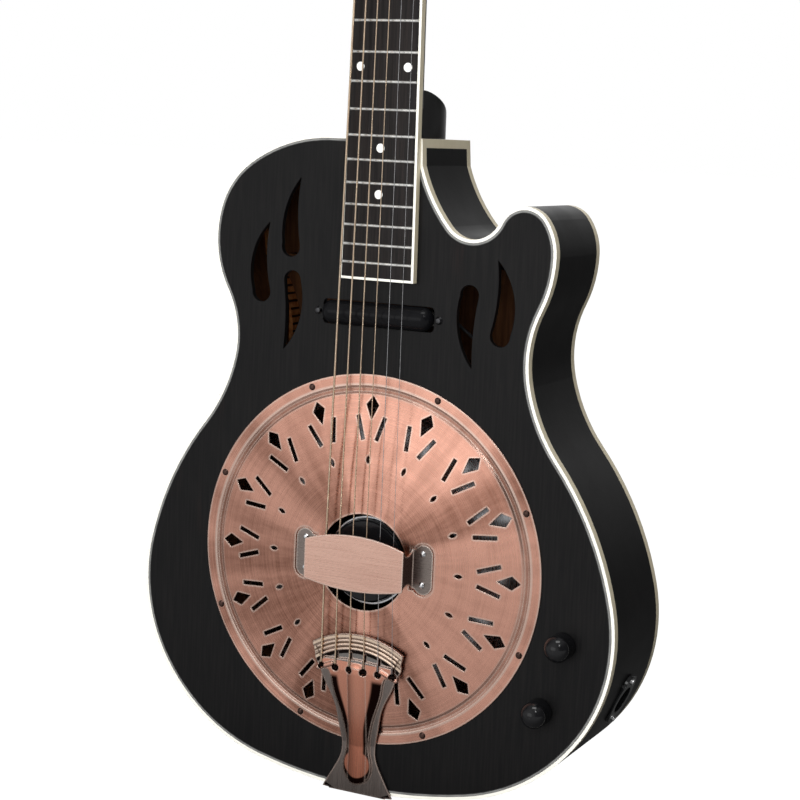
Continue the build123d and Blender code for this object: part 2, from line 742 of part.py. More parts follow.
def head_rod(x, v, low, high, radius):
    return rod(head_point(x, v, low), head_point(x, v, high), radius)


def head_block(x, v, out):
    size = [pair[1] - pair[0] for pair in (x, v, out)]
    middle = [(pair[1] + pair[0]) / 2 for pair in (x, v, out)]
    return HEAD.location * (Pos(*middle) * Box(*size))


def tuner_places():
    """Six tuners in string order, thickest first: x, v and side."""
    bass = [(-POST_SPREAD[row], POST_ROWS[row], -1) for row in (0, 1, 2)]
    treble = [(POST_SPREAD[row], POST_ROWS[row], 1) for row in (2, 1, 0)]
    return bass + treble


def post_holes(radius):
    return [head_rod(x, v, -HEAD_THICK - 1, VENEER + 1, radius) for x, v, side in tuner_places()]


def housing_screw_at(x, v, side):
    return x - side * 2.0, v - 11.5


def housing_screw_places():
    return [housing_screw_at(x, v, side) for x, v, side in tuner_places()]


def housing_screw_holes(radius):
    return [head_rod(x, v, -HEAD_THICK - 1, -HEAD_THICK + 8, radius) for x, v in housing_screw_places()]


def headstock_veneer():
    face = extrude(HEAD * head_outline(), amount=VENEER, dir=HEAD.z_dir)
    pocket = head_block((-3.6, 3.6), (3, 20), (-1, VENEER + 1))
    below_nut = block((-40, 40), (-20, 20), (HANGER_Z - 10, HANGER_Z + 0.05))
    pilots = [head_rod(x, v, -6, VENEER + 1, 0.85) for x, v in COVER_SCREWS]
    return face - post_holes(4.3) - pilots - [pocket, below_nut]


def cover_shape():
    return make_face([
        Line((-7.5, 2.5), (7.5, 2.5)),
        ThreePointArc((7.5, 2.5), (9.3, 13), (4, 26)),
        ThreePointArc((4, 26), (0, 30), (-4, 26)),
        ThreePointArc((-4, 26), (-9.3, 13), (-7.5, 2.5)),
    ])


def truss_rod_cover():
    shape = extrude(HEAD.offset(VENEER) * cover_shape(), amount=1.6, dir=HEAD.z_dir)
    return shape - [head_rod(x, v, 0, 5, 0.85) for x, v in COVER_SCREWS]


def tuner_housings():
    cases = None
    back = -HEAD_THICK
    for x, v, side in tuner_places():
        ends = sorted((x - side * 8.5, x + side * HOUSING_OUT))
        case = head_block(ends, (v - 8.5, v + 11), (back - HOUSING_DEEP, back))
        case = fillet(case.edges().filter_by(HEAD_AXIS), 3)
        foot = head_block(sorted((x - side * 5, x + side * 1)), (v - 14, v - 8), (back - 2, back))
        sleeve = rod(
            head_point(x + side * (HOUSING_OUT - 1), v + WORM_OFFSET, back - 5),
            head_point(x + side * (HOUSING_OUT + 7), v + WORM_OFFSET, back - 5),
            3.6,
        )
        room = head_block(sorted((x - side * 6, x + side * 6)), (v - 6, v + 9.4), (back - 8, back - 2))
        bore = rod(
            head_point(x, v + WORM_OFFSET, back - 5),
            head_point(x + side * 20, v + WORM_OFFSET, back - 5),
            2.05,
        )
        post_bore = head_rod(x, v, back - 5, back + 1, POST_RADIUS + 0.05)
        screw_hole = head_rod(*housing_screw_at(x, v, side), back - 4, back + 1, 1.1)
        case = (case + foot + sleeve) - [room, bore, post_bore, screw_hole]
        cases = case if cases is None else cases + case
    return cases


def tuner_post(x, v):
    """String post with a waist for the winding and a wheel inside the housing."""
    back = -HEAD_THICK
    post = head_rod(x, v, back - 4, POST_TOP, POST_RADIUS)
    wheel = head_rod(x, v, back - 7.5, back - 2.6, GEAR_RADIUS)
    waist = head_rod(x, v, STRING_OUT - 4, STRING_OUT + 4, POST_RADIUS + 1)
    waist -= head_rod(x, v, STRING_OUT - 5, STRING_OUT + 5, POST_RADIUS - 0.6)
    return (post + wheel) - waist


def tuner_button(x, v, side):
    back = -HEAD_THICK
    level_out = back - 5
    line = v + WORM_OFFSET
    worm = rod(
        head_point(x - side * 4, line, level_out),
        head_point(x + side * 4, line, level_out),
        WORM_RADIUS,
    )
    shaft = rod(
        head_point(x + side * 4, line, level_out),
        head_point(x + side * 22, line, level_out),
        2.0,
    )
    start = x + side * (HOUSING_OUT + 7.4)
    collar = rod(
        head_point(start, line, level_out),
        head_point(start + side * 3, line, level_out),
        3.2,
    )
    low, high = sorted((start + side * 3, start + side * 15))
    pear = head_block((low, high), (line - 8, line + 8), (level_out - 3, level_out + 3))
    pear = fillet(pear.edges().filter_by(HEAD_AXIS), 5.0)
    return worm + shaft + collar + pear


def tuner_bushings():
    rings = None
    for x, v, side in tuner_places():
        washer = head_rod(x, v, VENEER, VENEER + 0.9, 6.5)
        hexagon = HEAD.offset(VENEER + 0.9) * (Pos(x, v) * RegularPolygon(5.6, 6))
        cap = extrude(hexagon, amount=2.2, dir=HEAD.z_dir)
        sleeve = head_rod(x, v, -HEAD_THICK + 0.05, VENEER, 4.25)
        ring = (washer + cap + sleeve) - head_rod(x, v, -HEAD_THICK - 1, 12, POST_RADIUS + 0.05)
        rings = ring if rings is None else rings + ring
    return rings


def small_screws():
    """Wood screws of the tuner housings, the truss rod cover and the jack plate."""
    back = -HEAD_THICK
    screws = None
    for x, v in housing_screw_places():
        head = head_rod(x, v, back - 3.6, back - 2, 2.1)
        screw = head + head_rod(x, v, back - 2, back + 6, 0.8)
        screws = screw if screws is None else screws + screw
    for x, v in COVER_SCREWS:
        screws += head_rod(x, v, VENEER + 1.6, VENEER + 2.6, 1.6) + head_rod(x, v, -5, VENEER + 1.6, 0.8)
    frame = jack_frame()
    for v in JACK_SCREW_V:
        head = extrude(frame.offset(1.4) * (Pos(0, v) * Circle(2.1)), amount=1.3)
        screws += head + extrude(frame.offset(-9) * (Pos(0, v) * Circle(0.8)), amount=10.4)
    return screws


# ---------------------------------------------------------------- strings
def string_end(index):
    """Point beside the post where a string's straight run stops."""
    x, v, side = tuner_places()[index]
    gap = POST_RADIUS + 0.4 + GAUGES[index] / 2
    return head_point(x - side * gap, v, STRING_OUT)


def string_corners(index):
    """Keyhole, saddle, nut and post, in order."""
    tail = Vector(string_x(index, TAIL_PITCH), -KEYHOLE_HEIGHT, KEYHOLE_Z - 2)
    over = Vector(string_x(index, SADDLE_PITCH), -SADDLE_HEIGHT, 0)
    bend = Vector(string_x(index, NUT_PITCH), -NUT_HEIGHT + 0.3, NUT_CREST_Z)
    return [tail, over, bend, string_end(index)]


def string_runs(index, radius):
    corners = string_corners(index)
    return [rod(start, stop, radius) for start, stop in zip(corners, corners[1:])]


def guitar_string(index):
    """One string: ball end, then straight runs over the saddle and the nut to its post."""
    radius = GAUGES[index] / 2
    tail, over, bend, end = string_corners(index)
    wire = None
    for run in string_runs(index, radius):
        wire = run if wire is None else wire + run
    for corner in (over, bend):
        wire += Pos(*corner) * Sphere(radius)
    ball = Rot(0, 90, 0) * Cylinder(BALL_RADIUS, BALL_LONG)
    return wire + Pos(tail.X, tail.Y + BALL_SINK, tail.Z) * ball


def string_set(indices):
    strings = None
    for index in indices:
        string = guitar_string(index)
        strings = string if strings is None else strings + string
    return strings


# ---------------------------------------------------------------- electrics
def pickup_tube():
    """Round-ended pickup case, half sunk in the top."""
    core = rod((-PICKUP_HALF, 0, PICKUP_Z), (PICKUP_HALF, 0, PICKUP_Z), PICKUP_RADIUS)
    return fillet(core.edges().filter_by(GeomType.CIRCLE), PICKUP_RADIUS - 0.5)


def pickup_baseplate():
    """Metal plate under the top that carries the tube and takes the two height screws."""
    strip = plate(Pos(0, PICKUP_Z) * SlotOverall(103, 12), 10.5, 12)
    cradle = block((-30, 30), (7.9, 10.5), (PICKUP_Z - 3, PICKUP_Z + 3))
    body = (strip + cradle) - rod((-60, 0, PICKUP_Z), (60, 0, PICKUP_Z), PICKUP_RADIUS)
    ends = [s * PICKUP_SCREW_X for s in (-1, 1)]
    return body - [rod((x, 0, PICKUP_Z), (x, 20, PICKUP_Z), 1.3) for x in ends]


def pickup_screws():
    screws = None
    for side in (-1, 1):
        x = side * PICKUP_SCREW_X
        head = turned([(0, -2.0), (1.6, -1.8), (2.7, 0), (0, 0)], x, PICKUP_Z)
        screw = head + rod((x, 0, PICKUP_Z), (x, 16, PICKUP_Z), 1.25)
        screws = screw if screws is None else screws + screw
    return screws


def knob(x, z):
    """Domed control knob with a bore for the shaft; the top is a cap of a sphere."""
    rim = KNOB_RADIUS - 0.3
    ball = (rim ** 2 + KNOB_DOME ** 2) / (2 * KNOB_DOME)
    half_way = math.asin(rim / ball) / 2
    middle = (ball * math.sin(half_way), ball - ball * math.cos(half_way) - KNOB_TALL)
    edges = [
        Line((0, -1), (KNOB_RADIUS, -1)),
        Line((KNOB_RADIUS, -1), (rim, KNOB_DOME - KNOB_TALL)),
        ThreePointArc((rim, KNOB_DOME - KNOB_TALL), middle, (0, -KNOB_TALL)),
        Line((0, -KNOB_TALL), (0, -1)),
    ]
    body = Pos(x, 0, z) * revolve(make_face(edges), Axis.Y)
    return body - rod((x, 0, z), (x, -12.8, z), 3.02)


def potentiometers():
    pots = None
    for x, z in KNOBS.values():
        can = rod((x, TOP_THICK + 0.2, z), (x, TOP_THICK + 11, z), POT_RADIUS)
        neck_part = rod((x, -0.4, z), (x, TOP_THICK + 0.2, z), 4.7)
        neck_part -= rod((x, -2, z), (x, TOP_THICK + 0.2, z), 3.05)
        edge = z - POT_RADIUS
        lugs = block((x - 8, x + 8), (TOP_THICK + 1, TOP_THICK + 2), (edge - 7, edge + 2))
        pot = can + neck_part + lugs
        pot -= rod((x, TOP_THICK - 1, z), (x, TOP_THICK + 6.3, z), 3.05)
        pots = pot if pots is None else pots + pot
    return pots


def pot_shaft(x, z):
    return rod((x, TOP_THICK + 6, z), (x, -12.5, z), 3.0)


# ---- jack plate on the lower treble side ----
def jack_frame():
    """Plane on the outside of the rim at the jack: its z leaves the body, its x runs along y."""
    side = tangent_arcs(LOWER_BOUT, (1, 0))
    cutter = Line((100, JACK_Z), (200, JACK_Z))
    hit = [edge for edge in side if edge.intersect(cutter)][0]
    point = hit.intersect(cutter)[0] if isinstance(hit.intersect(cutter), list) else hit.intersect(cutter)
    tangent = hit.tangent_at(hit.param_at_point(point))
    outward = Vector(tangent.Y, 0, -tangent.X)
    return Plane(origin=(point.X, JACK_DEPTH, point.Y), x_dir=(0, 1, 0), z_dir=outward)


def jack_hole(radius):
    frame = jack_frame()
    return extrude(frame.offset(-16) * Circle(radius), amount=30)


def jack_plate():
    """Oval dished plate, screwed to the rim, with a recessed cup for the plug."""
    frame = jack_frame()
    flange = extrude(frame.offset(-2.6) * Ellipse(JACK_TALL / 2, JACK_LONG / 2), amount=4.0)
    flange -= plate(outline(), -20, 120)
    cup = extrude(frame.offset(-9) * Circle(JACK_CUP), amount=9.2)
    body = flange + cup
    body -= extrude(frame.offset(-8) * Circle(JACK_CUP - 1), amount=12)
    return body - jack_screw_holes(0.85) - extrude(frame.offset(-10) * Circle(4.9), amount=5)


def jack_screw_holes(radius):
    frame = jack_frame()
    return [extrude(frame.offset(-10) * (Pos(0, v) * Circle(radius)), amount=15) for v in JACK_SCREW_V]


def jack_socket():
    frame = jack_frame()
    barrel = extrude(frame.offset(-14) * Circle(7.5), amount=5)
    thread = extrude(frame.offset(-9) * Circle(4.8), amount=3.4)
    washer = extrude(frame.offset(-8) * (Circle(7) - Circle(4.8)), amount=0.8)
    collar = extrude(frame.offset(-7.2) * (RegularPolygon(6.2, 6) - Circle(4.8)), amount=1.6)
    body = barrel + thread + washer + collar
    return body - extrude(frame.offset(-13) * Circle(JACK_BORE), amount=14)


# ---- strap buttons ----
def strap_button():
    """Flared button with its screw, standing on z = 0."""
    screw = [(0, -14), (1.55, -14), (1.55, 0)]
    profile = screw + [(5.5, 0), (4.2, 3), (4.0, 8), (7.2, 11.5), (7.2, 13), (0, 13)]
    return revolve(Plane.XZ * closed(*profile), Axis.Z)


def strap_buttons():
    """One button at the tail, one on the bass side of the heel."""
    tail = Pos(0, STRAP_Y, TAIL_END - 0.05) * Rot(180, 0, 0) * strap_button()
    heel = Pos(-HEEL_SEAT, HEEL_STRAP_Y, HEEL_STRAP_Z) * Rot(0, -90, 0) * strap_button()
    return tail + heel


# ---- wiring inside the body ----
def wire_run(points, bend):
    path = FilletPolyline(*points, radius=bend)
    start = Plane(origin=path @ 0, z_dir=path % 0)
    return sweep(start * Circle(WIRE_RADIUS), path)


def wiring():
    """Leads from the pickup to the volume control, on to the tone control and to the socket."""
    (volume_x, volume_z), (tone_x, tone_z) = KNOBS["volume"], KNOBS["tone"]
    can = TOP_THICK + 11.05
    frame = jack_frame()
    socket = frame.origin - frame.z_dir * 14.05
    before = socket - frame.z_dir * 10
    pickup_lead = [
        (34, 12.1, PICKUP_Z), (34, 40, PICKUP_Z), (95, 46, 122), (143, 46, 40),
        (volume_x, 42, volume_z + 4), (volume_x, can, volume_z + 4),
    ]
    link = [(volume_x - 2, can, volume_z - 6), (volume_x - 2, 30, volume_z - 6)]
    link += [(tone_x + 2, 30, tone_z + 6), (tone_x + 2, can, tone_z + 6)]
    output = [(tone_x - 3, can, tone_z - 3), (tone_x - 3, 36, tone_z - 3), before, socket]
    return wire_run(pickup_lead, 9) + wire_run(link, 5) + wire_run(output, 5)


# ---------------------------------------------------------------- all parts
def parts():
    named = {
        "top_plate": top_plate(),
        "back_plate": back_plate(),
        "rim_sides": rim_sides(),
        "top_binding": top_binding(),
        "back_binding": back_binding(),
        "cutaway_strip": cutaway_strip(),
        "kerfed_linings": linings(),
        "neck_block": neck_block(),
        "tail_block": tail_block(),
        "back_braces": back_braces(),
        "soundwell_ring": soundwell(),
        "resonator_cone": cone(),
        "biscuit": biscuit(),
        "saddle": saddle(),
        "biscuit_screw": biscuit_screw(),
        "cover_plate": cover_plate(),
        "cover_plate_screws": cover_screws(),
        "hand_rest": hand_rest(),
        "hand_rest_screws": hand_rest_screws(),
        "tailpiece": tailpiece(),
        "tailpiece_screws": tailpiece_screws(),
        "strap_buttons": strap_buttons(),
        "neck": neck(),
        "neck_bolts": neck_bolts(),
        "truss_rod": truss_rod(),
        "fingerboard": fingerboard(),
        "fingerboard_binding": fingerboard_binding(),
        "frets": frets(),
        "position_dots": position_dots(),
        "nut": nut(),
        "headstock_veneer": headstock_veneer(),
        "truss_rod_cover": truss_rod_cover(),
        "small_wood_screws": small_screws(),
        "wound_strings": string_set(range(4)),
        "plain_strings": string_set(range(4, 6)),
        "tuner_housings": tuner_housings(),
        "tuner_bushings": tuner_bushings(),
        "pickup_tube": pickup_tube(),
        "pickup_baseplate": pickup_baseplate(),
        "pickup_screws": pickup_screws(),
        "potentiometers": potentiometers(),
        "jack_plate": jack_plate(),
        "jack_socket": jack_socket(),
        "wiring": wiring(),
    }
    for number, (x, v, side) in enumerate(tuner_places(), start=1):
        named[f"tuner_post_{number}"] = tuner_post(x, v)
        named[f"tuner_button_{number}"] = tuner_button(x, v, side)
    for name, (x, z) in KNOBS.items():
        named[f"{name}_knob"] = knob(x, z)
        named[f"{name}_shaft"] = pot_shaft(x, z)
    return named


def main():
    os.makedirs("parts", exist_ok=True)
    for name, shape in parts().items():
        lowered = Pos(0, 0, -HANGER_Z) * shape
        export_step(lowered, f"parts/{name}.step")


if __name__ == "__main__":
    main()
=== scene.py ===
"""Looks for a resonator guitar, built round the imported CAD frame.

Metres, +Z up the neck, the face towards -Y, +X on the treble side.
"""

import json
import math

import bmesh
import bpy
from mathutils import Matrix, Vector
from mathutils.bvhtree import BVHTree


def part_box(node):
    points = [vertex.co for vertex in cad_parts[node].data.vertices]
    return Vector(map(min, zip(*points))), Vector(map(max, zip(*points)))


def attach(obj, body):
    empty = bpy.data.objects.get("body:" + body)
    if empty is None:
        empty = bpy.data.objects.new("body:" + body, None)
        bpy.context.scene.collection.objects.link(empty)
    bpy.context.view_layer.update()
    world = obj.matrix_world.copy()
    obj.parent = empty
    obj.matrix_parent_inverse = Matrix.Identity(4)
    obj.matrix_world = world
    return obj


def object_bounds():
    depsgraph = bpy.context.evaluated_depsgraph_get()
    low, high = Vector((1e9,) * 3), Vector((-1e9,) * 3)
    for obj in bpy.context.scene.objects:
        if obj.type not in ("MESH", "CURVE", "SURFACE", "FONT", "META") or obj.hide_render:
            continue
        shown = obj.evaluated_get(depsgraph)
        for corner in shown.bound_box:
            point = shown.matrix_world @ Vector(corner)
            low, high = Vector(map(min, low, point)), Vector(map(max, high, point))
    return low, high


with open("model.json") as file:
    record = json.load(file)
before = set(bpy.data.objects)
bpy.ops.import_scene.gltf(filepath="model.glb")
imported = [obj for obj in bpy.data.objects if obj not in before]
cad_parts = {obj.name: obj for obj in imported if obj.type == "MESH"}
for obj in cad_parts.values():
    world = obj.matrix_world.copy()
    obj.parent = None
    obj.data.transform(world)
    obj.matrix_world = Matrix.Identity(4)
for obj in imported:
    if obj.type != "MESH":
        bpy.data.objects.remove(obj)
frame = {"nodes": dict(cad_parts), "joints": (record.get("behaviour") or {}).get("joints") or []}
NODES = frame["nodes"]
CAD_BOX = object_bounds()

PLATE_LOW, PLATE_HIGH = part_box("cover_plate")
PLATE_X = (PLATE_LOW.x + PLATE_HIGH.x) / 2
PLATE_Z = (PLATE_LOW.z + PLATE_HIGH.z) / 2
PLATE_R = (PLATE_HIGH.x - PLATE_LOW.x) / 2

# tailpiece sheet: levels where it bends, and how far forward it stands at each
TAIL_BEND_LOW, TAIL_FLAT_Y = PLATE_Z - 0.130, -0.0024
TAIL_BEND_HIGH, TAIL_HEAD_Y = PLATE_Z - 0.077, -0.0089
TAIL_PANEL_LOW = PLATE_Z - 0.0705
# spoon: half widths at its waist and shoulder, and the round end below
SPOON_WAIST, SPOON_WAIST_HALF = PLATE_Z - 0.122, 0.0088
SPOON_SHOULDER, SPOON_SHOULDER_HALF = PLATE_Z - 0.080, 0.0203
SPOON_FLANK_TOP = PLATE_Z - 0.0795
SPOON_REDDENS = (PLATE_Z - 0.100, PLATE_Z - 0.125)
SPOON_END = PLATE_Z - 0.1440
SPOON_END_RADIUS = 0.0096
# the head bar follows an arc; its ribs are round tubes along the same arc
BAR_CENTRE = PLATE_Z - 0.11625
BAR_INNER = 0.0545
BAR_SHADOW = 0.0024
RIDGE_COUNT = 3
RIDGE_FIRST = 0.0556
RIDGE_PITCH = 0.0029
RIDGE_RADIUS = 0.00115
RIDGE_LEVEL = -0.0093
RIDGE_HALF_TURN = 0.55
RIDGE_STEPS = 40
# hand rest: how far forward its feet end and its legs start
REST_FOOT_Y = -0.0090
REST_LEG_Y = -0.0075
# cone: radii of the crown in painted shade and of the bright lip on it
CONE_CROWN = 0.03775
CONE_LIP = (0.0288, 0.0308)
# strings: level of the ball ends, wrap wire, and the turns round each post
BALL_LEVEL = PLATE_Z - 0.0738
WRAP_PITCH = 0.0004
POST_WAIST = 0.0024
WIND_LEVEL = 0.009
WIND_STEPS = 24
WIND_SPREAD = 1.08
THICK_GAUGE = 0.0007
LAST_WOUND = 4
GAUGES = (0.00142, 0.00114, 0.00089, 0.00066, 0.00043, 0.00033)
KERF_PITCH = 0.0055
# purfling lines: name, near and far edge from the rim, shades
PURFLING = (
    ("grey", 0.0001, 0.0015, (0.14, 0.14, 0.135), (0.22, 0.22, 0.21)),
    ("black", 0.0015, 0.0021, (0.002, 0.002, 0.002), (0.004, 0.004, 0.004)),
)
PURFLING_PROUD = 0.00004
PURFLING_DEEP = 0.0002

# painted shade for hollows: the gap under the tailpiece bar and the ball ends in the keyholes
HOLLOW_SHADE = (0.012, 0.008, 0.007)
# dead zone of edges(): bends gentler than this cosine don't count as edges
EDGE_START = 0.992

# camera, floor and lights
CAMERA_AT = Vector((0.5659, -1.1124, -0.3629))
CAMERA_AIM = Vector((0.01933, 0.0, -0.53971))
CAMERA_ROLL = 0.04359
LENS_MM = 83.7
SENSOR_MM = 36
VIEW_DEPTH = 60
FLOOR_HALF = 30.0
FLOOR_GAP = 0.001
FLOOR_GLOW = 1.0
# the floor's own glow for reflections: y where it starts and is full, and its strengths
BOUNCE_START, BOUNCE_FULL = 0.02, -0.25
BOUNCE_LOW, BOUNCE_HIGH = 0.02, 0.4
AMBIENT = 0.09
# direction, where the glow starts and is full (cosines), and how bright it is
SKY_GLOWS = (
    ((-0.44, 0.88, 0.15), 0.65, 0.97, 0.9),
    ((-0.42, -0.85, -0.1), 0.35, 0.97, 0.62),
    ((0.0, -0.2, 1.0), 0.5, 0.97, 0.35),
)
BODY_MIDDLE = (0, 0, -0.6)
# name, place, aim, width, height, watts, seen in reflections
LAMPS = (
    ("front_left", (-0.5, -1.7, -0.55), (0, 0, -0.5), 1.2, 1.1, 3.4, True),
    ("glint", (0.9, -1.2, 0.6), BODY_MIDDLE, 0.2, 0.4, 3, True),
    ("overhead", (0.2, -0.6, 1.2), BODY_MIDDLE, 1.0, 0.6, 8, True),
    ("fill", (0.2, -2.0, -0.2), BODY_MIDDLE, 2.0, 2.0, 48, False),
)

# ------------------------------------------------------------ node materials
class Look:
    """A node material, with a short method for each kind of node used below."""

    def __init__(self, name, rough, metal=0.0, specular=0.5):
        self.material = bpy.data.materials.new(name)
        self.material.use_nodes = True
        self.tree = self.material.node_tree
        self.surface = self.tree.nodes["Principled BSDF"]
        self.at = self.node("ShaderNodeTexCoord").outputs["Object"]
        self.set("Roughness", rough)
        self.set("Metallic", metal)
        self.set("Specular IOR Level", specular)

    def node(self, kind, **settings):
        made = self.tree.nodes.new(kind)
        for name, value in settings.items():
            setattr(made, name, value)
        return made

    def feed(self, socket, value):
        if isinstance(value, bpy.types.NodeSocket):
            self.tree.links.new(value, socket)
        else:
            socket.default_value = value

    def set(self, name, value):
        self.feed(self.surface.inputs[name], value)

    def maths(self, operation, a, b=0.0, clamp=False):
        n = self.node("ShaderNodeMath", operation=operation, use_clamp=clamp)
        self.feed(n.inputs[0], a)
        self.feed(n.inputs[1], b)
        return n.outputs[0]

    def vector(self, operation, a, b=(0, 0, 0)):
        n = self.node("ShaderNodeVectorMath", operation=operation)
        self.feed(n.inputs[0], a)
        self.feed(n.inputs[1], b)
        return n.outputs["Value" if operation in ("DOT_PRODUCT", "LENGTH", "DISTANCE") else "Vector"]

    def axes(self, vector):
        n = self.node("ShaderNodeSeparateXYZ")
        self.feed(n.inputs[0], vector)
        return n.outputs

    def joined(self, x, y, z):
        n = self.node("ShaderNodeCombineXYZ")
        for socket, value in zip(n.inputs, (x, y, z)):
            self.feed(socket, value)
        return n.outputs[0]

    def noise(self, where, scale=1.0, detail=2.0, rough=0.5):
        n = self.node("ShaderNodeTexNoise")
        self.feed(n.inputs["Vector"], where)
        self.feed(n.inputs["Scale"], scale)
        self.feed(n.inputs["Detail"], detail)
        self.feed(n.inputs["Roughness"], rough)
        return n.outputs[0]

    def streaks(self, x, y, z, detail=3.0):
        """Noise with its own number of features per metre along each axis."""
        return self.noise(self.vector("MULTIPLY", self.at, (x, y, z)), 1.0, detail)

    def between(self, value, low, high, out_low=0.0, out_high=1.0):
        n = self.node("ShaderNodeMapRange", interpolation_type="SMOOTHSTEP")
        for socket, v in zip(n.inputs, (value, low, high, out_low, out_high)):
            self.feed(socket, v)
        return n.outputs[0]

    def mix(self, share, a, b):
        n = self.node("ShaderNodeMix", data_type="RGBA")
        self.feed(n.inputs["Factor"], share)
        for socket, value in zip([s for s in n.inputs if s.type == "RGBA"], (a, b)):
            self.feed(socket, value if isinstance(value, bpy.types.NodeSocket) else (*value, 1))
        return [s for s in n.outputs if s.type == "RGBA"][0]

    def rounded(self, radius):
        """The normal, as if the piece's sharp edges had this radius."""
        n = self.node("ShaderNodeBevel", samples=4)
        self.feed(n.inputs["Radius"], radius)
        return n.outputs[0]

    def edges(self, radius, gain):
        """Near 1 within radius of a sharp edge, and 0 elsewhere and on gentle curves."""
        true = self.node("ShaderNodeNewGeometry").outputs["Normal"]
        flat = self.vector("DOT_PRODUCT", self.rounded(radius), true)
        return self.maths("MULTIPLY", self.maths("SUBTRACT", EDGE_START, flat), gain, clamp=True)

    def bump(self, height, distance, strength, over=None):
        n = self.node("ShaderNodeBump")
        self.feed(n.inputs["Height"], height)
        self.feed(n.inputs["Distance"], distance)
        self.feed(n.inputs["Strength"], strength)
        if over is not None:
            self.feed(n.inputs["Normal"], over)
        self.set("Normal", n.outputs[0])

    def normal_axes(self):
        return self.axes(self.node("ShaderNodeNewGeometry").outputs["Normal"])

    def length(self, a, b):
        squares = self.maths("ADD", self.maths("MULTIPLY", a, a), self.maths("MULTIPLY", b, b))
        return self.maths("SQRT", squares)

    def weighed(self, *layers):
        """Sum of layers, each (value, low, high, weight): 0 below low and weight above high."""
        total = None
        for value, low, high, weight in layers:
            layer = self.maths("MULTIPLY", self.between(value, low, high), weight)
            total = layer if total is None else self.maths("ADD", total, layer)
        return total

    def polar(self, x, z):
        """Distance from the line through (x, z) along Y, the turn about it, and both offsets."""
        place = self.axes(self.at)
        across = self.maths("SUBTRACT", place[0], x)
        up = self.maths("SUBTRACT", place[2], z)
        return self.length(across, up), self.maths("ARCTAN2", across, up), across, up


def lacquer():
    """Satin see-through black over open-grained plywood."""
    m = Look("black_lacquer", rough=0.34, specular=0.14)
    grain = m.streaks(700, 700, 26, 4)
    figure = m.streaks(60, 60, 5, 3)
    cloud = m.noise(m.at, 11.0, 2.0)
    show = m.maths("MULTIPLY", m.between(figure, 0.52, 0.78), m.between(cloud, 0.58, 0.75, 0.0, 0.35))
    dark = m.mix(m.between(grain, 0.35, 0.7), (0.0042, 0.0042, 0.0045), (0.0075, 0.007, 0.007))
    bare = m.maths("MULTIPLY", show, m.between(grain, 0.3, 0.65))
    m.set("Base Color", m.mix(bare, dark, (0.035, 0.014, 0.010)))
    m.set("Roughness", m.between(m.noise(m.at, 35.0, 3.0), 0.3, 0.7, 0.33, 0.38))
    m.bump(grain, 0.00004, 0.12, m.rounded(0.0006))
    return m


def shaded_raw_wood():
    """Unfinished wood inside the body: its own grain, with the colour darkened throughout as painted
    shade.
    """
    m = Look("inner_wood", rough=0.75, specular=0.25)
    grain = m.streaks(420, 420, 18, 4)
    m.set("Base Color", m.mix(m.between(grain, 0.3, 0.7), (0.055, 0.02, 0.008), (0.10, 0.042, 0.017)))
    m.set("Roughness", m.between(grain, 0.2, 0.8, 0.68, 0.82))
    m.bump(grain, 0.00015, 0.5)
    return m


def kerfed():
    """Linings with a saw cut every KERF_PITCH, along whichever way they run, each cut painted dark as
    shade in the slot.
    """
    m = Look("kerfed_lining", rough=0.8, specular=0.2)
    place, normal = m.axes(m.at), m.normal_axes()
    upright = m.between(m.maths("ABSOLUTE", normal[0]), 0.55, 0.75)
    n = m.node("ShaderNodeMix", data_type="FLOAT")
    m.feed(n.inputs["Factor"], upright)
    m.feed(n.inputs[2], place[0])
    m.feed(n.inputs[3], place[2])
    turn = m.maths("MULTIPLY", n.outputs[0], 2 * math.pi / KERF_PITCH)
    # the saw cuts are painted dark: painted shade in the slots
    wood = m.between(m.maths("COSINE", turn), -0.75, -0.45)
    grain = m.streaks(300, 300, 300, 3)
    timber = m.mix(m.between(grain, 0.3, 0.7), (0.30, 0.10, 0.03), (0.45, 0.19, 0.065))
    m.set("Base Color", m.mix(wood, (0.03, 0.01, 0.004), timber))
    m.bump(wood, 0.001, 0.8)
    return m


def cream():
    """Celluloid binding, painted whiter as light where it faces the front, and darker and yellower as
    shade on its sides.
    """
    m = Look("cream_binding", rough=0.32, specular=0.5)
    # painted light on faces turned to the front, painted shade on the sides
    front = m.between(m.maths("ABSOLUTE", m.normal_axes()[1]), 0.5, 0.9)
    shade = m.mix(m.streaks(160, 160, 30, 2), (0.72, 0.63, 0.44), (0.82, 0.74, 0.55))
    m.set("Base Color", m.mix(front, shade, (0.90, 0.88, 0.80)))
    m.set("Normal", m.rounded(0.0004))
    return m


